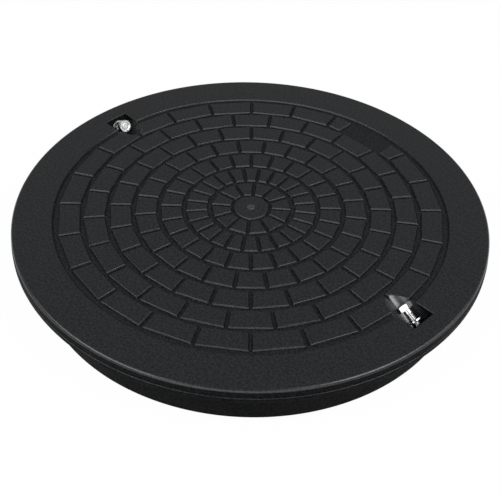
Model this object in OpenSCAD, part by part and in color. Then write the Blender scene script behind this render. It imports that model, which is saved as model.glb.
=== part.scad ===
// Round moulded plastic drain cover with two stainless locking screws.
// Millimetres. The skirt's foot stands on z = 0, and the two locks lie on the X axis.

/* [Cover] */
// Diameter over the rim
cover_d = 464; // [440:1:520]
// Height from the skirt's foot to the top
cover_h = 58.5; // [50:0.5:90]
// Width of the plain band between the rim and the brick field
band_w = 39; // [34:0.5:46]
// Radius of the rounded top edge
rim_edge_r = 3.2; // [1.5:0.1:4]
// Depth of the hanging rim
rim_h = 14; // [12:0.5:18]
// Wall of the hanging rim
rim_wall = 4; // [3:0.5:6]
// Distance from the top down to the small step on the rim
step_drop = 9; // [6:0.5:10]
// Width of the small step on the rim
step_w = 0.6; // [0.3:0.1:1.5]
// Thickness of the flange between the skirt and the rim
flange_t = 4.4; // [3.5:0.1:5.5]
// Distance from the rim's outside to the skirt's outside
overhang = 20; // [18:0.5:28]
// Wall of the skirt
skirt_wall = 4; // [3:0.5:6]
// Lead-in chamfer at the skirt's foot
foot_chamfer = 1.2; // [0.5:0.1:2]
// Thickness of the plate under the brick field
plate_t = 4; // [3:0.5:6]

/* [Brick field] */
// Depth of the grooves
groove_depth = 2.4; // [1.5:0.1:3.5]
// Width of the grooves between bricks
groove_w = 4; // [2.5:0.1:6]
// Width of the groove round the whole field
border_w = 5.6; // [4:0.1:8]
// Slope of the field's edge wall, as a run in plan
wall_run = 1.2; // [0.4:0.1:2]
// Length of a brick along the radius
brick_l = 20.8; // [18:0.1:22]
// Number of brick rows
row_count = 6; // [4:1:6]
// Number of bricks in each row
bricks_per_row = 24; // [16:2:28]
// Number of wedges round the centre disc
wedge_count = 12; // [8:2:14]
// Angle of the first joint between two wedges
wedge_turn = 10; // [0:0.5:30]
// Radius of the centre disc
disc_r = 17; // [12:0.5:20]
// Groove between the centre disc and the wedges
disc_groove_w = 3.5; // [2.5:0.1:5]
// Radius of the gate mark left by moulding
gate_r = 3.7; // [2:0.1:5]
// Height of the gate mark
gate_h = 0.5; // [0.3:0.1:1]
// Width of the bare panel in the outer row
panel_w = 57; // [40:1:70]

/* [Lock pockets] */
// Angle of a lock screw below the horizontal
lock_tilt = 32; // [28:1:36]
// Distance from the skirt's outside to where the screw's axis meets the top
pocket_inset = 21.5; // [19:0.5:24]
// How far the top edge of a pocket's end wall lies outside the skirt
end_wall_out = 0.5; // [-1:0.1:1]
// Radius of a pocket's rounded floor
pocket_r = 13.2; // [12.4:0.1:14.5]
// Height of the rounded floor's centre above the screw's axis
pocket_lift = 2.5; // [1.5:0.1:3]
// Wall round a pocket
pocket_wall = 3.5; // [2.5:0.1:4.5]
// Thickness of a pocket's end wall
end_wall = 4; // [3:0.1:5]
// Wall round a captive nut
nut_boss_wall = 3.3; // [2.5:0.1:4]

/* [Underside] */
// Thickness of a rib
rib_t = 3; // [2:0.2:4]
// Depth of the ribs below the plate
rib_h = 16; // [12:1:24]
// Number of ribs between the ring rib and the skirt
rib_count = 8; // [4:2:16]
// Radius of the ring rib
ring_r = 118; // [90:1:140]
// Outer radius of the hub where the long ribs meet
hub_r = 12; // [9:0.5:20]

/* [Lock screws] */
// Diameter of a lock screw
screw_d = 8; // [7:0.1:9]
// Length of a lock screw under its head
screw_l = 25; // [22:0.5:28]
// Chamfer at a screw's tip
tip_chamfer = 1; // [0.5:0.1:1.5]
// Width across the flats of a screw head
head_af = 13; // [12:0.1:14]
// Height of a screw head
head_h = 5.3; // [4:0.1:6.5]
// How far the right screw's head stands off the end wall
right_out = 16.5; // [14:0.1:18]
// How far the left screw's head stands off the end wall
left_out = 9; // [6:0.1:12]
// Turn of the right screw's head from corners up
right_turn = 20; // [0:1:59]
// Turn of the left screw's head from corners up
left_turn = 6; // [0:1:59]
// Diameter of a washer
washer_d = 15; // [14:0.1:18]
// Thickness of a washer
washer_t = 1.6; // [1.2:0.1:2]
// Radial play of a washer on its screw
washer_play = 0.2; // [0.1:0.05:0.4]
// How far the right washer hangs off the end wall
washer_out = 3.6; // [0:0.1:5]
// Width across the flats of a nut
nut_af = 13; // [12:0.1:14]
// Height of a nut
nut_h = 6.5; // [5:0.1:7.5]
// Radial play of a screw in its nut
nut_play = 0.1; // [0.05:0.05:0.2]
// Gap round a nut in its pocket
nut_gap = 0.2; // [0.1:0.05:0.4]
// Radial play of a screw in the end wall
hole_play = 0.5; // [0.3:0.1:1]

/* [Hidden] */
$fn = 96;
eps = 0.5; // how far cuts run past a face

// The cover's radii, from the rim inwards
rim_r = cover_d / 2;
top_r = rim_r - step_w;
skirt_r = rim_r - overhang;
skirt_in_r = skirt_r - skirt_wall;
field_r = rim_r - band_w;

// The heights of the field's floor, the plate's underside and the ribs' lower edge
floor_z = cover_h - groove_depth;
under_z = floor_z - plate_t;
rib_z = under_z - rib_h;
brick_root = plate_t / 2; // bricks start this far down in the plate
edge_steps = 8; // facets round the rim's top edge

// The brick rows
pitch = brick_l + groove_w;
first_r = field_r - border_w;
function row_out(k) = first_r - k * pitch;
function row_in(k) = row_out(k) - brick_l;
wedge_out = row_in(row_count - 1) - groove_w;
wedge_in = disc_r + disc_groove_w;

// Places along a screw's axis, counted from where it meets the top
lock_r = skirt_r - pocket_inset;
wall_s = (pocket_inset + end_wall_out) * cos(lock_tilt);
nut_s = wall_s + end_wall;
boss_end_s = nut_s + nut_h;
tub_back = 2 * pocket_r / tan(lock_tilt); // the pocket starts this far back, above the top
tub_rise = (tub_back + boss_end_s) * tan(lock_tilt) + pocket_r;

// A regular hexagon's corner radius, from its width across the flats
function corner_r(af) = af / 2 / cos(30);
boss_r = corner_r(nut_af + 2 * nut_gap) + nut_boss_wall;
hex_chamfer = 0.6; // height of the chamfer on hexagon corners

// The rounded top edge, from the top to the side
function rim_edge() = [
    for (i = [0:edge_steps])
        let (a = 90 * i / edge_steps)
        [top_r - rim_edge_r * (1 - sin(a)), cover_h - rim_edge_r * (1 - cos(a))]
];

// Half section of the moulding: plate, field edge, flange, rim and skirt
module shell() {
    rotate_extrude(convexity = 6)
        polygon(concat(
            [[0, floor_z], [field_r - wall_run, floor_z], [field_r, cover_h]],
            rim_edge(),
            [
                [top_r, cover_h - step_drop], [rim_r, cover_h - step_drop],
                [rim_r, cover_h - rim_h], [rim_r - rim_wall, cover_h - rim_h],
                [rim_r - rim_wall, cover_h - flange_t], [skirt_r, cover_h - flange_t],
                [skirt_r, foot_chamfer], [skirt_r - foot_chamfer, 0],
                [skirt_in_r, 0], [skirt_in_r, under_z], [0, under_z]
            ]
        ));
}

// A corner of a brick: on the circle r, half a groove away from the joint
function corner(r, joint, side) =
    let (h = groove_w / 2, x = sqrt(r * r - h * h))
    [x * cos(joint) - side * h * sin(joint), x * sin(joint) + side * h * cos(joint)];

// One brick between two joints, with straight edges
module brick(r_in, r_out, from, to) {
    translate([0, 0, floor_z - brick_root])
        linear_extrude(groove_depth + brick_root)
            polygon([
                corner(r_in, from, 1), corner(r_out, from, 1),
                corner(r_out, to, -1), corner(r_in, to, -1)
            ]);
}

// A row of equal bricks, turned so that the first joint lies at start
module brick_row(r_in, r_out, count, start) {
    step = 360 / count;
    for (i = [0:count - 1])
        brick(r_in, r_out, start + i * step, start + (i + 1) * step);
}

// The paved field: the outer row is broken by the bare panel on the Y axis
module brick_field() {
    half_step = 180 / bricks_per_row;
    difference() {
        brick_row(row_in(0), row_out(0), bricks_per_row, 0);
        translate([-panel_w / 2, 0, floor_z])
            cube([panel_w, field_r, groove_depth + eps]);
    }
    for (k = [1:row_count - 1])
        brick_row(row_in(k), row_out(k), bricks_per_row, k % 2 == 0 ? 0 : half_step);
    brick_row(wedge_in, wedge_out, wedge_count, wedge_turn);
    translate([0, 0, floor_z - brick_root]) {
        cylinder(r = disc_r, h = groove_depth + brick_root);
        cylinder(r = gate_r, h = groove_depth + brick_root + gate_h);
    }
}

// Ribs under the plate: every other one runs on from the ring rib to the hub
module ribs() {
    reach = skirt_in_r + skirt_wall / 2;
    depth = rib_h + plate_t / 2;
    for (i = [0:rib_count - 1]) {
        start = (i % 2 == 0 ? hub_r : ring_r) - rib_t / 2;
        rotate([0, 0, i * 360 / rib_count])
            translate([start, -rib_t / 2, rib_z])
                cube([reach - start, rib_t, depth]);
    }
    for (r = [hub_r, ring_r])
        translate([0, 0, rib_z])
            difference() {
                cylinder(r = r, h = depth);
                translate([0, 0, -eps])
                    cylinder(r = r - rib_t, h = depth + 2 * eps);
            }
}

// Puts its children on a screw's axis: X runs outwards and down, Z away from the floor
module on_lock_axis() {
    translate([lock_r, 0, cover_h])
        rotate([0, lock_tilt, 0])
            children();
}

// A channel with a round floor, along the screw's axis
module channel(r, from, to) {
    translate([from, 0, pocket_lift])
        rotate([90, 0, 90])
            linear_extrude(to - from)
                union() {
                    circle(r = r);
                    translate([-r, 0])
                        square([2 * r, tub_rise]);
                }
}

// The pocket's walls below the top, and the boss for its nut
module pocket_body() {
    intersection() {
        on_lock_axis()
            channel(pocket_r + pocket_wall, -tub_back, nut_s);
        translate([0, 0, foot_chamfer])
            cylinder(r = skirt_r, h = cover_h - flange_t / 2 - groove_depth - foot_chamfer);
    }
    intersection() {
        on_lock_axis()
            translate([wall_s, 0, 0])
                rotate([0, 90, 0])
                    cylinder(r = boss_r, h = boss_end_s - wall_s);
        cylinder(r = rim_r, h = cover_h - flange_t / 2);
    }
}

// What is cut for a lock: the pocket, the screw's hole and the nut's seat
module pocket_cuts() {
    on_lock_axis() {
        channel(pocket_r, -tub_back, wall_s);
        rotate([0, 90, 0])
            cylinder(r = screw_d / 2 + hole_play, h = boss_end_s);
        translate([nut_s, 0, 0])
            rotate([0, 90, 0])
                cylinder(r = corner_r(nut_af + 2 * nut_gap), h = nut_h + pocket_r, $fn = 6);
    }
}

module cover() {
    color("#2b2b2c")
        difference() {
            union() {
                shell();
                brick_field();
                ribs();
                for (a = [0, 180])
                    rotate([0, 0, a])
                        pocket_body();
            }
            for (a = [0, 180])
                rotate([0, 0, a])
                    pocket_cuts();
        }
}

// A hexagon with chamfered corners, from z = 0 up; both ends are chamfered for a nut
module hex_body(af, h, both) {
    flat_r = af / 2 * 0.95;
    r = corner_r(af);
    low_r = both ? flat_r : r;
    intersection() {
        cylinder(r = r, h = h, $fn = 6);
        rotate_extrude()
            polygon([
                [0, 0], [low_r, 0], [r, both ? hex_chamfer : 0],
                [r, h - hex_chamfer], [flat_r, h], [0, h]
            ]);
    }
}

// Hexagon screw with its head standing off the end wall
module lock_screw(out, turn) {
    color("#c9ccd0")
        on_lock_axis()
            translate([wall_s - out, 0, 0]) {
                rotate([0, -90, 0])
                    rotate([0, 0, turn])
                        hex_body(head_af, head_h, false);
                rotate([0, 90, 0])
                    rotate_extrude()
                        polygon([
                            [0, -head_h / 2], [screw_d / 2, -head_h / 2],
                            [screw_d / 2, screw_l - tip_chamfer],
                            [screw_d / 2 - tip_chamfer, screw_l], [0, screw_l]
                        ]);
            }
}

// Plain washer on the screw, this far off the end wall
module washer(out) {
    color("#c2c5ca")
        on_lock_axis()
            translate([wall_s - out - washer_t, 0, 0])
                rotate([0, 90, 0])
                    difference() {
                        cylinder(d = washer_d, h = washer_t);
                        translate([0, 0, -eps])
                            cylinder(r = screw_d / 2 + washer_play, h = washer_t + 2 * eps);
                    }
}

// Captive nut behind the end wall
module nut() {
    color("#b9bcc0")
        on_lock_axis()
            translate([nut_s, 0, 0])
                rotate([0, 90, 0])
                    difference() {
                        hex_body(nut_af, nut_h, true);
                        translate([0, 0, -eps])
                            cylinder(r = screw_d / 2 + nut_play, h = nut_h + 2 * eps);
                    }
}

module lock_screw_right() lock_screw(right_out, right_turn);
module lock_screw_left() rotate([0, 0, 180]) lock_screw(left_out, left_turn);
module washer_right() washer(washer_out);
module washer_left() rotate([0, 0, 180]) washer(0);
module nut_right() nut();
module nut_left() rotate([0, 0, 180]) nut();

cover();
lock_screw_right();
lock_screw_left();
washer_right();
washer_left();
nut_right();
nut_left();
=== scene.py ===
# Drain cover: black moulded plastic, brick-pattern tread, two stainless locking screws
import math

import bmesh
import bpy
from mathutils import Matrix, Vector


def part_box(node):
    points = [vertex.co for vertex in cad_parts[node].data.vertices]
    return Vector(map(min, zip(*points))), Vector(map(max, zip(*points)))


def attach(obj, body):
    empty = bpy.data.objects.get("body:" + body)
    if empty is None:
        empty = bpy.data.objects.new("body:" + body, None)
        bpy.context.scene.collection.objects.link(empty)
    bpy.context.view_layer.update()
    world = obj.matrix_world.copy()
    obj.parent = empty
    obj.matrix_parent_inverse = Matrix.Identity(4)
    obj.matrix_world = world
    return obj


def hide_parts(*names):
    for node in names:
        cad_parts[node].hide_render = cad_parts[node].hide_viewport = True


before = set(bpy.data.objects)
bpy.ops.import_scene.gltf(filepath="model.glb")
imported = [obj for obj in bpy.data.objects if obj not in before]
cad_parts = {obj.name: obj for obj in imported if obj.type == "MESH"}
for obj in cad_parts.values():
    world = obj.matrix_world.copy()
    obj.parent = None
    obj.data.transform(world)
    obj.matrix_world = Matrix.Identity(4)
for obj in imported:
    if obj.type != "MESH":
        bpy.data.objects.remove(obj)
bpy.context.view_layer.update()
print("frame loaded:", sorted(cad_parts))

mm = 0.001  # sizes below are in millimetres, Blender works in metres

# What every piece is placed by
layout = {
    "gateMarkHeight": 0.5,     # stands above the top, and so counts in the node's box
    "rimToSkirt": 20.0,
    "lockTilt": 32.0,          # degrees below the horizontal
    "pocketInset": 21.5,       # skirt to where a screw's axis meets the top
    "endWallOut": 0.5,
    "endWall": 4.0,
}
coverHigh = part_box("cover")[1]
rimRadius = coverHigh.x / mm
topZ = coverHigh.z / mm - layout["gateMarkHeight"]
skirtRadius = rimRadius - layout["rimToSkirt"]
lockRadius = skirtRadius - layout["pocketInset"]
tilt = math.radians(layout["lockTilt"])
wallReach = (layout["pocketInset"] + layout["endWallOut"]) * math.cos(tilt)
nutReach = wallReach + layout["endWall"]


# Shapes

def roundedPath(corners, steps=5, closed=False):
    # corners are (x, y, radius); every corner with a radius becomes an arc
    path = []
    count = len(corners)
    for i, (x, y, radius) in enumerate(corners):
        here = Vector((x, y))
        if radius <= 0 or (not closed and i in (0, count - 1)):
            path.append(here)
            continue
        toBefore = (Vector(corners[i - 1][:2]) - here).normalized()
        toAfter = (Vector(corners[(i + 1) % count][:2]) - here).normalized()
        half = toBefore.angle(toAfter) / 2
        centre = here + (toBefore + toAfter).normalized() * radius / math.sin(half)
        start = here + toBefore * radius / math.tan(half) - centre
        end = here + toAfter * radius / math.tan(half) - centre
        first = math.atan2(start.y, start.x)
        turn = (math.atan2(end.y, end.x) - first + math.pi) % (2 * math.pi) - math.pi
        for k in range(steps + 1):
            angle = first + turn * k / steps
            path.append(centre + Vector((math.cos(angle), math.sin(angle))) * radius)
    return path


def widened(outline, grow):
    # a closed convex outline, moved outwards by grow along its corners' normals
    sharpest = 0.3      # stops a very sharp corner from running far out
    count = len(outline)
    area = sum(outline[i - 1].cross(outline[i]) for i in range(count))
    side = 1 if area > 0 else -1
    moved = []
    for i in range(count):
        back = (outline[i] - outline[i - 1]).normalized()
        ahead = (outline[(i + 1) % count] - outline[i]).normalized()
        along = (back + ahead).normalized()
        normal = Vector((along.y, -along.x)) * side
        slant = max(sharpest, back.dot(along))
        moved.append(outline[i] + normal * grow / slant)
    return moved


def meshPiece(name, points, faces, place=Matrix.Identity(4)):
    mesh = bpy.data.meshes.new(name)
    mesh.from_pydata([place @ (Vector(p) * mm) for p in points], [], faces)
    solid = bmesh.new()
    solid.from_mesh(mesh)
    bmesh.ops.recalc_face_normals(solid, faces=solid.faces)
    solid.to_mesh(mesh)
    solid.free()
    piece = bpy.data.objects.new(name, mesh)
    bpy.context.scene.collection.objects.link(piece)
    return piece


def turned(name, path, segments=96, place=Matrix.Identity(4), ring=False):
    # a lathe shape round Z from (radius, height) points; ring joins the last point to the first
    onAxis = 1e-6       # a point nearer the axis than this is a single point, not a ring
    points = []
    rows = []
    for radius, height in path:
        if radius < onAxis:
            rows.append([len(points)])
            points.append((0, 0, height))
            continue
        rows.append(list(range(len(points), len(points) + segments)))
        for k in range(segments):
            angle = 2 * math.pi * k / segments
            points.append((radius * math.cos(angle), radius * math.sin(angle), height))
    faces = []
    for a, b in zip(rows, rows[1:] + ([rows[0]] if ring else [])):
        for k in range(segments):
            n = (k + 1) % segments
            if len(a) == 1 and len(b) == 1:
                continue
            if len(a) == 1:
                faces.append((a[0], b[k], b[n]))
            elif len(b) == 1:
                faces.append((a[k], b[0], a[n]))
            else:
                faces.append((a[k], b[k], b[n], a[n]))
    return meshPiece(name, points, faces, place)


def sharpPath(*corners):
    return [Vector(corner) for corner in corners]


def lofted(name, stacks, place=Matrix.Identity(4)):
    # each stack is a list of closed rings of 3D points, capped at both ends
    points = []
    faces = []
    for rings in stacks:
        base = len(points)
        count = len(rings[0])
        for ring in rings:
            points.extend(ring)
        for r in range(len(rings) - 1):
            for k in range(count):
                n = (k + 1) % count
                low = base + r * count
                faces.append((low + k, low + n, low + count + n, low + count + k))
        faces.append([base + k for k in range(count)])
        faces.append([base + (len(rings) - 1) * count + k for k in range(count)])
    return meshPiece(name, points, faces, place)


def combined(base, tool, operation):
    change = base.modifiers.new("cut", "BOOLEAN")
    change.operation = operation
    change.solver = "MANIFOLD"
    change.object = tool
    depsgraph = bpy.context.evaluated_depsgraph_get()
    made = bpy.data.meshes.new_from_object(base.evaluated_get(depsgraph))
    base.modifiers.clear()
    base.data = made
    bpy.data.objects.remove(tool)
    return base


def softShaded(piece, sharpAngle=38):
    mesh = piece.data
    mesh.polygons.foreach_set("use_smooth", [True] * len(mesh.polygons))
    mesh.set_sharp_from_angle(angle=math.radians(sharpAngle))
    weighted = piece.modifiers.new("flatFacesFirst", "WEIGHTED_NORMAL")
    weighted.mode = "FACE_AREA"
    weighted.weight = 90
    weighted.keep_sharp = True


# Finishes

def finish(name, **values):
    # a Principled material; values are set on the shader's own sockets
    material = bpy.data.materials.new(name)
    material.use_nodes = True
    nodes = material.node_tree.nodes
    shader = nodes["Principled BSDF"]
    for socket, value in values.items():
        shader.inputs[socket.replace("_", " ")].default_value = value
    return material, nodes, material.node_tree.links, shader


def noiseTexture(nodes, links, scale, detail, stretch=(1, 1, 1)):
    where = nodes.new("ShaderNodeTexCoord")
    mapping = nodes.new("ShaderNodeMapping")
    mapping.inputs["Scale"].default_value = stretch
    noise = nodes.new("ShaderNodeTexNoise")
    noise.inputs["Scale"].default_value = scale
    noise.inputs["Detail"].default_value = detail
    links.new(where.outputs["Object"], mapping.inputs["Vector"])
    links.new(mapping.outputs["Vector"], noise.inputs["Vector"])
    return noise


def rampBetween(nodes, links, source, low, high, start=0.35, end=0.65):
    ramp = nodes.new("ShaderNodeMapRange")
    ramp.inputs["From Min"].default_value = start
    ramp.inputs["From Max"].default_value = end
    ramp.inputs["To Min"].default_value = low
    ramp.inputs["To Max"].default_value = high
    links.new(source.outputs["Fac"], ramp.inputs["Value"])
    return ramp


def colourBetween(nodes, links, source, dark, light):
    mix = nodes.new("ShaderNodeMix")
    mix.data_type = "RGBA"
    mix.inputs["A"].default_value = (*dark, 1)
    mix.inputs["B"].default_value = (*light, 1)
    links.new(source.outputs[0], mix.inputs["Factor"])
    return mix


def bumpFrom(nodes, links, source, strength, distance):
    bump = nodes.new("ShaderNodeBump")
    bump.inputs["Strength"].default_value = strength
    bump.inputs["Distance"].default_value = distance
    links.new(source.outputs["Fac"], bump.inputs["Height"])
    return bump


def shaderFed(links, shader, colour, rough, bump):
    links.new(colour.outputs["Result"], shader.inputs["Base Color"])
    links.new(rough.outputs["Result"], shader.inputs["Roughness"])
    links.new(bump.outputs["Normal"], shader.inputs["Normal"])


# Scales are per metre and depths in metres. Mottling is the part of a texture's range that is spread
# from dark to light, and detail is how fine its noise goes
plasticLook = {
    "dark": (0.0008, 0.0009, 0.001),
    "light": (0.0155, 0.0159, 0.0168),
    "mottling": (0.3, 0.7),
    "roughness": (0.27, 0.34),
    "gloss": 0.5,
    "reflectionTint": (0.92, 0.955, 1.0),
    "grainScale": 480,        # moulded grain, about 2 mm
    "grainDetail": 2,
    "grainDepth": 0.00005,
    "grainStrength": 0.5,
    "patchScale": 40,         # broad patches of slightly other gloss
    "patchDetail": 3,
}


def plasticFinish(name, look, roughness=None, gloss=None, shade=1.0):
    low, high = roughness or look["roughness"]
    material, nodes, links, shader = finish(name)
    shader.inputs["Specular IOR Level"].default_value = look["gloss"] if gloss is None else gloss
    shader.inputs["Specular Tint"].default_value = (*look["reflectionTint"], 1)
    grain = noiseTexture(nodes, links, look["grainScale"], look["grainDetail"])
    patches = noiseTexture(nodes, links, look["patchScale"], look["patchDetail"])
    mottling = rampBetween(nodes, links, grain, 0, 1, *look["mottling"])
    dark, light = ([v * shade for v in look[k]] for k in ("dark", "light"))
    colour = colourBetween(nodes, links, mottling, dark, light)
    rough = rampBetween(nodes, links, patches, low, high)
    bump = bumpFrom(nodes, links, grain, look["grainStrength"], look["grainDepth"])
    shaderFed(links, shader, colour, rough, bump)
    return material


steelLook = {
    "dark": (0.42, 0.42, 0.42),
    "light": (0.58, 0.58, 0.575),
    "mottling": (0.3, 0.7),
    "roughness": (0.2, 0.26),
    "scratchScale": 500,
    "scratchStretch": (1, 6, 1),
    "scratchDetail": 4,
    "scratchDepth": 0.000004,
    "scratchStrength": 0.1,
    "cloudSize": 6,           # times a scratch's
    "cloudDetail": 3,
}


def steelFinish(name, look, roughness=None):
    low, high = roughness or look["roughness"]
    material, nodes, links, shader = finish(name, Metallic=1.0)
    scale = look["scratchScale"]
    scratches = noiseTexture(nodes, links, scale, look["scratchDetail"], look["scratchStretch"])
    clouds = noiseTexture(nodes, links, scale / look["cloudSize"], look["cloudDetail"])
    shade = rampBetween(nodes, links, clouds, 0, 1, *look["mottling"])
    colour = colourBetween(nodes, links, shade, look["dark"], look["light"])
    rough = rampBetween(nodes, links, scratches, low, high)
    bump = bumpFrom(nodes, links, scratches, look["scratchStrength"], look["scratchDepth"])
    shaderFed(links, shader, colour, rough, bump)
    return material


# shade multiplies the plastic's dark and light colours; the skirt's darker copy (0.5) is painted shade, the
# gate mark's lighter copy (4.0) a painted highlight
treadPlastic = plasticFinish("blackTreadPlastic", plasticLook)
# a darker, duller copy of the tread plastic for the skirt, rim side, pocket walls and underside: painted
# shade
paintedShadePlastic = plasticFinish("blackPaintedShadePlastic", plasticLook, roughness=(0.5, 0.6), gloss=0.03, shade=0.5)
groovePlastic = plasticFinish("blackGroovePlastic", plasticLook, roughness=(0.55, 0.65), gloss=0.25)
pocketPlastic = plasticFinish("blackPocketPlastic", plasticLook, roughness=(0.32, 0.36), gloss=1.0)
# a rougher, lighter copy for the gate mark: the lighter colour is a painted highlight
paintedHighlightGatePlastic = plasticFinish("blackPaintedHighlightGatePlastic", plasticLook, roughness=(0.55, 0.65), gloss=0.5, shade=4.0)
boltSteel = steelFinish("stainlessScrewSteel", steelLook)
washerSteel = steelFinish("stainlessWasherSteel", steelLook, roughness=(0.14, 0.22))
nutSteel = steelFinish("stainlessNutSteel", steelLook, roughness=(0.25, 0.4))
print("finishes made")

# The moulding

coverSizes = {
    "bandWidth": 39.0, "edgeRadius": 3.2, "rimDepth": 14.0, "rimWall": 4.0,
    "stepDrop": 9.0, "stepWidth": 0.6, "flange": 4.4, "skirtWall": 4.0, "footRadius": 0.6,
    "plate": 4.0, "grooveDepth": 2.4, "grooveWidth": 5.0, "jointWidth": 3.7, "borderWidth": 5.6,
    "brickLength": 19.8, "rows": 6, "bricksPerRow": 24, "wedges": 12, "wedgeTurn": 10.0,
    "discRadius": 17.0, "discGroove": 3.5, "gateRadius": 3.7, "panelWidth": 57.0,
    "ribWidth": 3.0, "ribDepth": 16.0, "ribs": 8, "ringRadius": 118.0, "hubRadius": 12.0,
    "pocketRadius": 13.2, "pocketLift": 2.5, "pocketWall": 3.5, "bossRadius": 11.04,
    "holeRadius": 4.5, "holeChamfer": 0.5, "nutSeatRadius": 7.74, "nutHeight": 6.5,
}
softEdges = {
    "slopeInset": 0.42, "slopeFoot": 0.5,         # a brick's sloped wall, in and out from its plain outline
    "slopeDrop": 1.7, "brickTop": 0.9, "slopeEnd": 0.3, "brickCorner": 0.25,
    "flatStart": 1.2,                             # from there inwards a brick's top is one flat face
    "fieldSlopeOut": 0.2, "fieldSlopeIn": 0.7, "fieldFoot": 0.2,
    "stepIn": 0.15, "stepOut": 0.28, "rimFoot": 0.8, "underside": 1.0, "small": 0.4,
    "gateFoot": 0.15, "gateSlope": 0.3, "gateTop": 0.3, "boss": 0.5,
    "pocketLip": 0.7, "tipGrowth": 0.15,
}
fineness = {    # straight pieces round each turned form, and in a pocket's half round
    "shell": 360, "disc": 120, "rings": 180, "boss": 72, "hole": 64, "pocketArc": 40,
}
overlap = 2.0       # how far a form reaches into the one it is joined to or cut from
hair = 0.01         # keeps faces of two forms out of one plane
fieldRadius = rimRadius - coverSizes["bandWidth"]
floorZ = topZ - coverSizes["grooveDepth"]
underZ = floorZ - coverSizes["plate"]


def mouldingShell(c, e):
    sideRadius = rimRadius - c["stepWidth"]
    lipRadius = rimRadius - c["rimWall"]
    innerSkirt = skirtRadius - c["skirtWall"]
    stepZ = topZ - c["stepDrop"]
    rimZ = topZ - c["rimDepth"]
    flangeZ = topZ - c["flange"]
    footOfSlope = fieldRadius - e["fieldSlopeIn"]
    corners = [
        (0, floorZ, 0), (footOfSlope, floorZ, e["fieldFoot"]),
        (footOfSlope, topZ - e["slopeDrop"], e["slopeEnd"]),
        (fieldRadius + e["fieldSlopeOut"], topZ, e["brickTop"]), (sideRadius, topZ, c["edgeRadius"]),
        (sideRadius, stepZ, e["stepIn"]), (rimRadius, stepZ, e["stepOut"]),
        (rimRadius, rimZ, e["rimFoot"]), (lipRadius, rimZ, e["small"]),
        (lipRadius, flangeZ, e["underside"]), (skirtRadius, flangeZ, e["underside"]),
        (skirtRadius, 0, c["footRadius"]), (innerSkirt, 0, e["small"]),
        (innerSkirt, underZ, e["underside"]), (0, underZ, 0),
    ]
    return turned("coverMoulding", roundedPath(corners, steps=6), fineness["shell"])


def brickCorners(rIn, rOut, start, end, keepBeyond=None):
    # straight edges, with the joints' grooves of equal width along their length
    half = coverSizes["jointWidth"] / 2
    corners = []
    for radius, joint, side in ((rIn, start, 1), (rOut, start, 1), (rOut, end, -1), (rIn, end, -1)):
        along = Vector((math.cos(joint), math.sin(joint)))
        across = Vector((-along.y, along.x)) * side * half
        corners.append(along * math.sqrt(radius * radius - half * half) + across)
    if keepBeyond is not None:
        corners = partBrick(corners, keepBeyond)
    return corners


def partBrick(corners, halfWidth):
    # what is left of a brick outside the bare panel, on whichever side its middle lies
    side = 1 if sum(p.x for p in corners) > 0 else -1
    kept = []
    for i, p in enumerate(corners):
        q = corners[(i + 1) % len(corners)]
        dp = p.x * side - halfWidth
        dq = q.x * side - halfWidth
        if dp >= 0:
            kept.append(p)
        if dp * dq < 0:
            kept.append(p.lerp(q, dp / (dp - dq)))
    return kept


def slopedEdge(e, depth):
    # how a raised form's edge runs, as (growth of its outline, height over the groove's floor)
    return roundedPath([
        (e["slopeFoot"], -overlap, 0), (e["slopeFoot"], depth - e["slopeDrop"], e["slopeEnd"]),
        (-e["slopeInset"], depth, e["brickTop"]), (-e["slopeInset"] - e["flatStart"], depth, 0),
    ], steps=4)


def raisedIsland(corners):
    # a pad with sloped walls and softened edges
    e = softEdges
    rings = []
    for grow, height in slopedEdge(e, coverSizes["grooveDepth"]):
        soft = [(p.x, p.y, e["brickCorner"]) for p in widened(corners, grow)]
        outline = roundedPath(soft, steps=3, closed=True)
        rings.append([(p.x, p.y, floorZ + height) for p in outline])
    return rings


def brickIslands(c):
    rowPitch = c["brickLength"] + c["grooveWidth"]
    rOut = fieldRadius - c["borderWidth"]
    step = 2 * math.pi / c["bricksPerRow"]
    stacks = []
    for row in range(c["rows"]):
        rIn = rOut - c["brickLength"]
        shift = 0 if row % 2 == 0 else step / 2
        for k in range(c["bricksPerRow"]):
            start = shift + k * step
            middle = start + step / 2
            nearPanel = row == 0 and abs(middle - math.pi / 2) < step
            halfPanel = c["panelWidth"] / 2 if nearPanel else None
            stacks.append(raisedIsland(brickCorners(rIn, rOut, start, start + step, halfPanel)))
        rOut -= rowPitch
    rIn = c["discRadius"] + c["discGroove"]
    step = 2 * math.pi / c["wedges"]
    for k in range(c["wedges"]):
        start = math.radians(c["wedgeTurn"]) + k * step
        stacks.append(raisedIsland(brickCorners(rIn, rOut, start, start + step)))
    return lofted("brickIslands", stacks)


def centreDisc(c, e):
    foot = c["discRadius"] + e["slopeFoot"]
    gateZ = topZ + layout["gateMarkHeight"]
    corners = [
        (0, floorZ - overlap, 0), (foot, floorZ - overlap, 0), (foot, topZ - e["slopeDrop"], e["slopeEnd"]),
        (c["discRadius"] - e["slopeInset"], topZ, e["brickTop"]),
        (c["gateRadius"] + e["gateSlope"], topZ, e["gateFoot"]),
        (c["gateRadius"], gateZ, e["gateTop"]), (0, gateZ, 0),
    ]
    return turned("centreDisc", roundedPath(corners, steps=4), fineness["disc"])


def ribSlabs(c, e):
    # each rib has a chamfered foot, given by its heights and half its width there
    stacks = []
    outer = skirtRadius - c["skirtWall"] / 2
    half = c["ribWidth"] / 2
    lowZ = underZ - c["ribDepth"]
    levels = ((lowZ, half - e["small"]), (lowZ + e["small"], half), (underZ + overlap, half))
    for k in range(c["ribs"]):
        inner = (c["hubRadius"] if k % 2 == 0 else c["ringRadius"]) - half
        angle = k * 2 * math.pi / c["ribs"]
        along = Vector((math.cos(angle), math.sin(angle)))
        across = Vector((-along.y, along.x))
        ends = ((inner, -1), (outer, -1), (outer, 1), (inner, 1))
        stacks.append([[(*(along * r + across * s * w), z) for r, s in ends] for z, w in levels])
    return lofted("ribSlabs", stacks)


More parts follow.
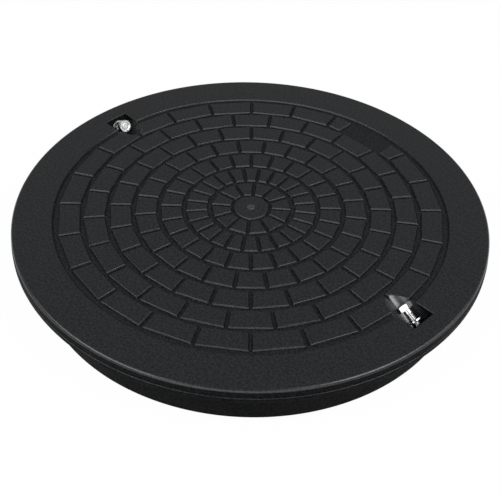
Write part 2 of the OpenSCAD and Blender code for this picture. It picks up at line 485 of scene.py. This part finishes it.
def ringRib(radius, c, e):
    low = underZ - c["ribDepth"] + hair
    high = underZ + overlap
    inner = radius - c["ribWidth"]
    corners = [(inner, low, e["small"]), (radius, low, e["small"]), (radius, high, 0), (inner, high, 0)]
    return turned("ringRib", roundedPath(corners, steps=3, closed=True), fineness["rings"], ring=True)


# Locks: X runs outwards and down along a screw, Z away from the pocket's floor

def lockPlace(side):
    axis = Matrix.Rotation(tilt, 4, "Y")
    return Matrix.Rotation(side, 4, "Z") @ Matrix.Translation(Vector((lockRadius, 0, topZ)) * mm) @ axis


# turns a lathe shape's Z into the screw's axis
alongScrew = Matrix(((0, 0, 1, 0), (1, 0, 0, 0), (0, 1, 0, 0), (0, 0, 0, 1)))


def channel(name, radius, start, end, side):
    # a round-bottomed trough along the screw's axis, open far above the top
    lift = coverSizes["pocketLift"]
    rise = 60
    outline = [(radius, rise), (radius, lift)]
    arcSteps = fineness["pocketArc"]
    for k in range(1, arcSteps):
        angle = math.pi * k / arcSteps
        outline.append((radius * math.cos(angle), lift - radius * math.sin(angle)))
    outline += [(-radius, lift), (-radius, rise)]
    rings = [[(x, y, z) for y, z in outline] for x in (start, end)]
    return lofted(name, [rings], lockPlace(side))


def pocketLip(c, e, side):
    # rounds the edge where the channel breaks through the top
    radius = c["pocketRadius"]
    lip = e["pocketLip"]
    arcSteps = fineness["pocketArc"]

    def xAt(z, height):
        # where a line of the channel, z above the screw's axis, passes this height over the top
        along = (z * math.cos(tilt) - height) / math.sin(tilt)
        return lockRadius + along * math.cos(tilt) + z * math.sin(tilt)

    def outlineAt(height, grow):
        # the channel's section at this height, as seen from above; it grows least at the shallow tip
        wallZ = (height + wallReach * math.sin(tilt)) / math.cos(tilt)
        wallX = lockRadius + wallReach * math.cos(tilt) + wallZ * math.sin(tilt) + grow
        shoulderX = xAt(c["pocketLift"], height)
        half = radius + grow
        points = sharpPath((wallX, -half), (shoulderX, -half))
        for k in range(1, arcSteps):
            angle = math.pi * k / arcSteps
            x = xAt(c["pocketLift"] - radius * math.sin(angle), height)
            points.append(Vector((x - grow * e["tipGrowth"] * math.sin(angle), -half * math.cos(angle))))
        points += sharpPath((shoulderX, half), (wallX, half))
        return points

    # from above the top, round a quarter turn, to just inside the channel, as (height, growth)
    levels = [(6, lip), (0.02, lip)]
    for degrees in range(10, 90, 10):
        a = math.radians(degrees)
        levels.append((-lip * (1 - math.cos(a)), lip * (1 - math.sin(a))))
    levels += [(-lip, 0.0), (-lip - 0.1, -0.3)]
    rings = [
        [(p.x, p.y, topZ + height) for p in outlineAt(min(height, 0), grow)]
        for height, grow in levels
    ]
    return lofted("pocketLip", [rings], Matrix.Rotation(side, 4, "Z"))


def addPocket(moulding, c, e, side):
    axis = lockPlace(side) @ alongScrew
    back = 2 * c["pocketRadius"] / math.tan(tilt)
    # the tub that holds the pocket, kept inside the skirt and under the tread
    tub = channel("pocketTub", c["pocketRadius"] + c["pocketWall"], -back, nutReach, side)
    inside = skirtRadius - hair
    under = topZ - c["flange"] / 2 - c["grooveDepth"]
    limitPath = sharpPath((0, overlap), (inside, overlap), (inside, under), (0, under))
    combined(tub, turned("pocketLimit", limitPath, fineness["shell"]), "INTERSECT")
    combined(moulding, tub, "UNION")
    # the boss that holds the nut
    bossEnd = nutReach + c["nutHeight"]
    boss = c["bossRadius"]
    bossCorners = [(0, wallReach, 0), (boss, wallReach, 0), (boss, bossEnd, e["boss"]), (0, bossEnd, 0)]
    bossPath = roundedPath(bossCorners, steps=4)
    combined(moulding, turned("nutBoss", bossPath, fineness["boss"], axis), "UNION")
    # the pocket, the screw's chamfered hole and the nut's seat
    combined(moulding, channel("pocketCut", c["pocketRadius"], -back, wallReach, side), "DIFFERENCE")
    combined(moulding, pocketLip(c, e, side), "DIFFERENCE")
    hole = c["holeRadius"]
    mouth = hole + c["holeChamfer"]
    holePath = sharpPath(
        (0, wallReach - overlap), (mouth, wallReach - overlap), (mouth, wallReach),
        (hole, wallReach + c["holeChamfer"]), (hole, nutReach + overlap / 2), (0, nutReach + overlap / 2),
    )
    combined(moulding, turned("screwHole", holePath, fineness["hole"], axis), "DIFFERENCE")
    seat = c["nutSeatRadius"]
    seatEnd = bossEnd + 12      # well out of the boss
    seatPath = sharpPath((0, nutReach), (seat, nutReach), (seat, seatEnd), (0, seatEnd))
    combined(moulding, turned("nutSeat", seatPath, 6, axis), "DIFFERENCE")


finishZones = {
    "pocketStart": 165.0, "pocketEnd": skirtRadius + 1,   # a pocket lies between these distances,
    "pocketShallow": 0.7, "pocketDeep": 24.0,             # between these depths under the top
    "pocketHeight": 16.0,                 # and no higher than this over the screw's axis
    "nearFloor": 0.4, "nearWall": 0.3,    # how near the pocket's round floor or its side walls a face lies
    "rimSide": 1.5, "rimUpright": 0.2,    # how far in the rim's side goes, and how much it may lean
    "underStep": 1.0, "insideRim": 0.5, "underPlate": 1.0,
    "overGroove": 0.1, "overTop": 0.05,
}


def surfaceGroups(moulding, c, zones):
    # gives every face the finish that its place on the moulding has; the darker copy on the skirt, rim
    # side, pocket walls and underside is painted shade, the lighter one on the gate mark a painted
    # highlight
    mesh = moulding.data
    mesh.materials.clear()
    groups = (treadPlastic, paintedShadePlastic, groovePlastic, pocketPlastic, paintedHighlightGatePlastic)
    for material in groups:
        mesh.materials.append(material)
    for face in mesh.polygons:
        x, y, z = (v / mm for v in face.center)
        radius = math.hypot(x, y)
        fromAxis = (radius - lockRadius) * math.sin(tilt) + (z - topZ) * math.cos(tilt)
        fromFloor = abs(math.hypot(y, fromAxis - c["pocketLift"]) - c["pocketRadius"])
        fromWall = abs(abs(y) - c["pocketRadius"])
        inPocket = (
            abs(y) < c["pocketRadius"] + hair and zones["pocketStart"] < abs(x) < zones["pocketEnd"]
            and topZ - zones["pocketDeep"] < z < topZ - zones["pocketShallow"]
            and fromAxis < zones["pocketHeight"]
        )
        upright = abs(face.normal.z) < zones["rimUpright"]
        belowStep = z < topZ - c["stepDrop"] - zones["underStep"]
        onRimSide = radius > rimRadius - zones["rimSide"] and (upright or belowStep)
        insideRim = radius < rimRadius - c["rimWall"] - zones["insideRim"]
        if inPocket and fromFloor < zones["nearFloor"]:
            chosen = pocketPlastic
        # pocket side walls, rim side, skirt and underside get the darker copy: painted shade
        elif inPocket and fromWall < zones["nearWall"]:
            chosen = paintedShadePlastic
        elif onRimSide or insideRim and z < floorZ - zones["underPlate"]:
            chosen = paintedShadePlastic
        elif z < floorZ + zones["overGroove"] and radius < fieldRadius:
            chosen = groovePlastic
        # the gate mark gets the lighter copy: a painted highlight
        elif z > topZ + zones["overTop"]:
            chosen = paintedHighlightGatePlastic
        else:
            chosen = treadPlastic
        face.material_index = groups.index(chosen)


moulding = mouldingShell(coverSizes, softEdges)
combined(moulding, brickIslands(coverSizes), "UNION")
combined(moulding, centreDisc(coverSizes, softEdges), "UNION")
combined(moulding, ribSlabs(coverSizes, softEdges), "UNION")
for ringRadius in (coverSizes["hubRadius"], coverSizes["ringRadius"]):
    combined(moulding, ringRib(ringRadius, coverSizes, softEdges), "UNION")
for side in (0, math.pi):
    addPocket(moulding, coverSizes, softEdges, side)
surfaceGroups(moulding, coverSizes, finishZones)
softShaded(moulding)
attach(moulding, "cover_body")
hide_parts("cover")
print("moulding made:", len(moulding.data.polygons), "faces")

# Lock screws

screwSizes = {
    "flats": 13.0, "headHeight": 5.3, "shank": 8.0, "length": 25.0, "pitch": 1.25,
    "neckLength": 3.8, "neckRadius": 3.5, "rootRadius": 3.32, "tip": 1.0, "cornerSoftness": 0.35,
    "crestFlat": 0.125, "flank": 0.625,     # as shares of half the pitch
    "seatFlat": 0.97, "seatChamfer": 0.55,  # flat circle as a share of the flats, and its chamfer's height
    "topFlat": 0.96, "topChamfer": 0.75, "pastCorner": 0.2,
    "dishOuter": 4.5, "dishInner": 3.0, "dishDepth": 0.2, "dishMiddle": 0.08,
    "turnedEdge": 0.15, "seatEdge": 0.1, "dishEdge": 0.3,
    "around": 48, "perPitch": 10,           # points round the thread, and rows in one turn of it
}
locks = [     # out is how far the head stands off the pocket's wall, and turn is the hexagon's, in degrees
    {"name": "Right", "node": "lock_screw_right", "body": "right_screw",
     "side": 0.0, "out": 16.5, "turn": 45.0},
    {"name": "Left", "node": "lock_screw_left", "body": "left_screw",
     "side": math.pi, "out": 9.0, "turn": 6.0},
]


def threadedShank(name, s, place):
    around = s["around"]
    rows = int(s["length"] / s["pitch"] * s["perPitch"])
    crest = s["shank"] / 2
    rings = []
    for i in range(rows + 1):
        height = s["length"] * i / rows
        cut = min(1, max(0, (height - s["neckLength"]) / s["pitch"]))  # the thread grows out of the neck
        ring = []
        for k in range(around):
            angle = 2 * math.pi * k / around
            phase = (height / s["pitch"] - k / around) % 1
            ridge = min(1, max(0, (abs(phase - 0.5) * 2 - s["crestFlat"]) / s["flank"]))
            threadRadius = crest - (crest - s["rootRadius"]) * ridge
            radius = s["neckRadius"] * (1 - cut) + threadRadius * cut
            radius = min(radius, crest - s["tip"] + (s["length"] - height))
            ring.append((radius * math.cos(angle), radius * math.sin(angle), height))
        rings.append(ring)
    rings.insert(0, [(x, y, -s["headHeight"] / 2) for x, y, _ in rings[0]])
    return lofted(name, [rings], place)


def screwHead(name, s, turn, place):
    # a hexagon bar cut by a turned shape: chamfered corners and a shallow ring in its top
    flat = s["flats"] / 2
    corner = flat / math.cos(math.radians(30))
    hexagon = []
    for k in range(6):
        angle = turn + k * math.pi / 3
        hexagon.append((corner * math.sin(angle), corner * math.cos(angle), s["cornerSoftness"]))
    outline = roundedPath(hexagon, steps=3, closed=True)
    h = s["headHeight"]
    bar = lofted(name, [[[(p.x, p.y, z) for p in outline] for z in (-h - 1, 0)]], place)
    past = corner + s["pastCorner"]
    corners = [
        (0, 0, 0), (flat * s["seatFlat"], 0, s["seatEdge"]), (past, -s["seatChamfer"], 0),
        (past, -h + s["topChamfer"], 0), (flat * s["topFlat"], -h, s["turnedEdge"]),
        (s["dishOuter"], -h, s["turnedEdge"]),
        ((s["dishOuter"] + s["dishInner"]) / 2, -h + s["dishDepth"], s["dishEdge"]),
        (s["dishInner"], -h + s["dishMiddle"], s["turnedEdge"]), (0, -h + s["dishMiddle"], 0),
    ]
    return combined(bar, turned("headShape", roundedPath(corners, steps=4), place=place), "INTERSECT")


for lock in locks:
    travel = Matrix.Translation((mm * (wallReach - lock["out"]), 0, 0))
    place = lockPlace(lock["side"]) @ travel @ alongScrew
    screw = screwHead("lockScrew" + lock["name"], screwSizes, math.radians(lock["turn"]), place)
    combined(screw, threadedShank("shank", screwSizes, place), "UNION")
    screw.data.materials.clear()
    screw.data.materials.append(boltSteel)
    softShaded(screw, sharpAngle=30)
    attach(screw, lock["body"])
    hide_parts(lock["node"])
print("lock screws made")

# Washers

washerSizes = {"outer": 7.5, "inner": 4.2, "thick": 1.6, "edge": 0.25}
washers = [   # off is the gap between a washer and the pocket's wall
    {"name": "Right", "node": "washer_right", "body": "right_washer", "side": 0.0, "off": 3.6},
    {"name": "Left", "node": "washer_left", "body": "cover_body", "side": math.pi, "off": 0.0},
]
for item in washers:
    w = washerSizes
    start = wallReach - item["off"] - w["thick"]
    end = start + w["thick"]
    section = roundedPath([
        (w["inner"], start, w["edge"]), (w["outer"], start, w["edge"]),
        (w["outer"], end, w["edge"]), (w["inner"], end, w["edge"]),
    ], steps=3, closed=True)
    place = lockPlace(item["side"]) @ alongScrew
    washer = turned("washer" + item["name"], section, place=place, ring=True)
    washer.data.materials.append(washerSteel)
    softShaded(washer, sharpAngle=40)
    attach(washer, item["body"])
    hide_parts(item["node"])
print("washers made")

# The captive nuts stay as the frame has them
for node in ("nut_right", "nut_left"):
    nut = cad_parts[node]
    nut.data.materials.clear()
    nut.data.materials.append(nutSteel)

# Camera: where the photograph was taken from, in the plan of the frame
cameraView = {
    "plan": 44.03,            # degrees from looking along Y
    "elevation": 39.366,
    "distance": 910.92,       # millimetres from the middle of the top
    "roll": -1.798, "yaw": 0.011, "pitch": -2.653,
    "focal": 926.8, "pictureWidth": 500,      # both in pixels
    "sensor": 36.0,
}


def axisTurn(angle, i, j):
    # a turn from axis i towards axis j
    turn = Matrix.Identity(3)
    turn[i][i] = turn[j][j] = math.cos(angle)
    turn[i][j] = -math.sin(angle)
    turn[j][i] = math.sin(angle)
    return turn


def placeCamera(view):
    e = math.radians(view["elevation"])
    spot = Vector((0, -math.cos(e), math.sin(e))) * view["distance"]
    forward = -spot.normalized()
    right = Vector((1, 0, 0))
    up = right.cross(forward)
    looking = Matrix((right, up, forward))
    roll, yaw, pitch = (math.radians(view[k]) for k in ("roll", "yaw", "pitch"))
    rows = axisTurn(roll, 0, 1) @ axisTurn(pitch, 1, 2) @ axisTurn(yaw, 0, 2) @ looking
    axes = Matrix((rows[0], rows[1], -rows[2])).transposed().to_4x4()
    plan = Matrix.Rotation(math.radians(view["plan"]), 4, "Z")
    data = bpy.data.cameras.new("photoCamera")
    data.sensor_width = view["sensor"]
    data.lens = view["sensor"] * view["focal"] / view["pictureWidth"]
    data.clip_start = 0.01
    data.clip_end = 100
    camera = bpy.data.objects.new("photoCamera", data)
    bpy.context.scene.collection.objects.link(camera)
    camera.matrix_world = plan @ Matrix.Translation((spot + Vector((0, 0, topZ))) * mm) @ axes
    bpy.context.scene.camera = camera


placeCamera(cameraView)
print("camera placed")

# Studio: a pale floor, a soft sky and softboxes; bearings are as seen from the camera,
# 0 behind the cover and 90 to its right
studio = {
    "floorSize": 30.0, "backdrop": 1.5,         # metres
    "floorColour": 0.88, "floorRoughness": 0.9, "floorGloss": 0.1,
    "floorWhite": 0.97,       # share of plain white where the camera or a reflection sees the floor
    "skyLow": 0.08, "skyHigh": 0.32,            # strength at the horizon and overhead
    "skyFull": 0.4,           # sine of the elevation where the sky reaches its full strength
    "boxes": [    # name, bearing, elevation, distance, width, height, power in watts
        ("frontBox", 184, 22, 2.4, 3.0, 0.9, 22),
        ("rightBox", 119, 45, 2.2, 1.2, 0.95, 22),
        ("rightTopBox", 118, 55, 2.2, 0.8, 0.4, 3.5),
        ("rightBackBox", 84, 34, 2.2, 0.6, 0.6, 3.2),
        ("leftBackBox", 270, 36, 2.2, 0.8, 0.6, 4.5),
        ("leftBox", 242, 42, 2.2, 1.4, 1.1, 24),
        ("rightLowBox", 97, 15, 2.4, 1.1, 0.7, 2.8),
    ],
}


def mathNode(nodes, links, operation, first, second=None):
    made = nodes.new("ShaderNodeMath")
    made.operation = operation
    links.new(first, made.inputs[0])
    if second is not None:
        links.new(second, made.inputs[1])
    return made


def paleFloor(s):
    # turned up at its edges, so that low views have no dark sky above it
    half = s["floorSize"] / 2 / mm
    rise = s["backdrop"] / mm
    signs = ((-1, -1), (1, -1), (1, 1), (-1, 1))
    points = [(x * half, y * half, z) for z in (0, rise) for x, y in signs]
    walls = [(k, k + 4, (k + 1) % 4 + 4, (k + 1) % 4) for k in range(4)]
    floor = meshPiece("paleFloor", points, [(0, 1, 2, 3)] + walls)
    material, nodes, links, shader = finish("paleFloor", Roughness=s["floorRoughness"])
    shader.inputs["Base Color"].default_value = (s["floorColour"],) * 3 + (1,)
    shader.inputs["Specular IOR Level"].default_value = s["floorGloss"]
    white = nodes.new("ShaderNodeEmission")
    rays = nodes.new("ShaderNodeLightPath").outputs
    seen = mathNode(nodes, links, "MAXIMUM", rays["Is Camera Ray"], rays["Is Glossy Ray"])
    seenToo = mathNode(nodes, links, "MAXIMUM", seen.outputs[0], rays["Is Transmission Ray"])
    share = mathNode(nodes, links, "MULTIPLY", seenToo.outputs[0])
    share.inputs[1].default_value = s["floorWhite"]
    mix = nodes.new("ShaderNodeMixShader")
    links.new(share.outputs[0], mix.inputs["Fac"])
    links.new(shader.outputs["BSDF"], mix.inputs[1])
    links.new(white.outputs["Emission"], mix.inputs[2])
    links.new(mix.outputs["Shader"], nodes["Material Output"].inputs["Surface"])
    floor.data.materials.append(material)


def softbox(name, bearing, elevation, distance, width, height, power):
    data = bpy.data.lights.new(name, "AREA")
    data.shape = "RECTANGLE"
    data.size = width
    data.size_y = height
    data.energy = power
    lamp = bpy.data.objects.new(name, data)
    bpy.context.scene.collection.objects.link(lamp)
    plan = math.radians(cameraView["plan"] + 90 - bearing)
    e = math.radians(elevation)
    towards = Vector((math.cos(plan) * math.cos(e), math.sin(plan) * math.cos(e), math.sin(e)))
    lamp.location = Vector((0, 0, topZ * mm)) + towards * distance
    lamp.rotation_mode = "QUATERNION"
    lamp.rotation_quaternion = towards.to_track_quat("Z", "Y")


def softSky(s):
    # white all round, and dimmer towards the horizon
    world = bpy.data.worlds.new("studioSky")
    world.use_nodes = True
    nodes = world.node_tree.nodes
    links = world.node_tree.links
    where = nodes.new("ShaderNodeTexCoord")
    parts = nodes.new("ShaderNodeSeparateXYZ")
    level = nodes.new("ShaderNodeMapRange")
    level.interpolation_type = "SMOOTHSTEP"
    level.inputs["From Min"].default_value = 0
    level.inputs["From Max"].default_value = s["skyFull"]
    level.inputs["To Min"].default_value = s["skyLow"]
    level.inputs["To Max"].default_value = s["skyHigh"]
    links.new(where.outputs["Generated"], parts.inputs["Vector"])
    links.new(parts.outputs["Z"], level.inputs["Value"])
    links.new(level.outputs["Result"], nodes["Background"].inputs["Strength"])
    nodes["Background"].inputs["Color"].default_value = (1, 1, 1, 1)
    bpy.context.scene.world = world


paleFloor(studio)
for box in studio["boxes"]:
    softbox(*box)
softSky(studio)
bpy.context.scene.view_settings.view_transform = "Standard"
print("studio made")
